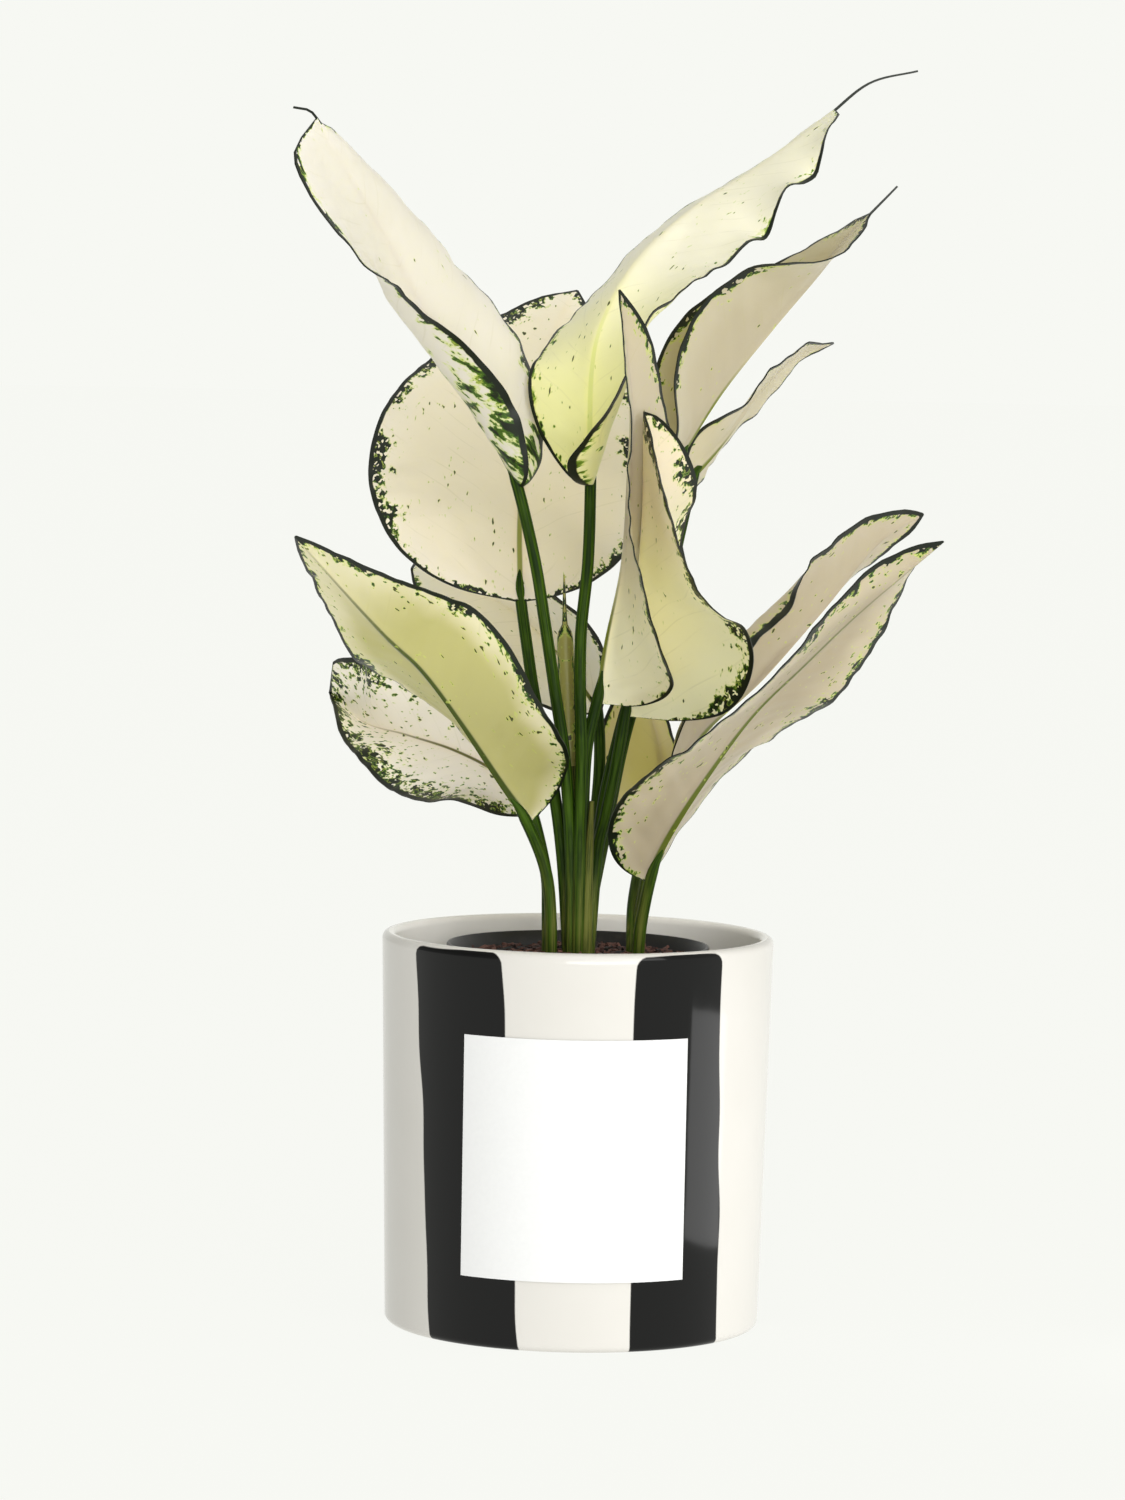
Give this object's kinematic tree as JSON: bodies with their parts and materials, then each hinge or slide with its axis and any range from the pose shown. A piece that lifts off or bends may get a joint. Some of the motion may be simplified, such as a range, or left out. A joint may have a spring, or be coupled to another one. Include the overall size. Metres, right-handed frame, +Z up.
{
  "type": "potted white joy chinese evergreen",
  "caption": "Potted white joy chinese evergreen: cream leaves with green edges on upright stems, in a glossy white round planter with black stripes and a blank label.",
  "frame": {"origin": "centre of the planter's flat base", "axes": "+Z up; +X to the right as the plant is seen from its front, which looks along -Y"},
  "size_m": [0.2286, 0.2486, 0.4515],
  "materials": {
    "glaze": "gloss",
    "label_paper": "matte",
    "grower_plastic": "satin",
    "potting_mix": "matte",
    "stalk_green": "satin",
    "leaf_cream": "satin",
    "leaf_yellow": "satin",
    "leaf_lime": "satin",
    "leaf_tan": "satin",
    "leaf_blush": "satin",
    "leaf_rolled": "satin"
  },
  "bodies": {
    "root": {"planter": "glaze", "label": "label_paper", "grower_pot": "grower_plastic", "potting_mix": "potting_mix", "stem_left": "stalk_green", "stem_centre": "stalk_green", "stem_right": "stalk_green", "leaf_upper_left": "leaf_cream", "leaf_back_round": "leaf_tan", "leaf_upper_right": "leaf_yellow", "leaf_centre_upright": "leaf_blush", "leaf_centre_right": "leaf_cream", "leaf_front_left": "leaf_lime", "leaf_front_right": "leaf_blush", "leaf_second_right": "leaf_tan", "leaf_narrow_right": "leaf_tan", "leaf_back_low": "leaf_blush", "leaf_low_left": "leaf_blush", "leaf_mid_right": "leaf_tan", "leaf_low_centre": "leaf_tan", "leaf_spear": "leaf_rolled"}
  },
  "joints": []
}
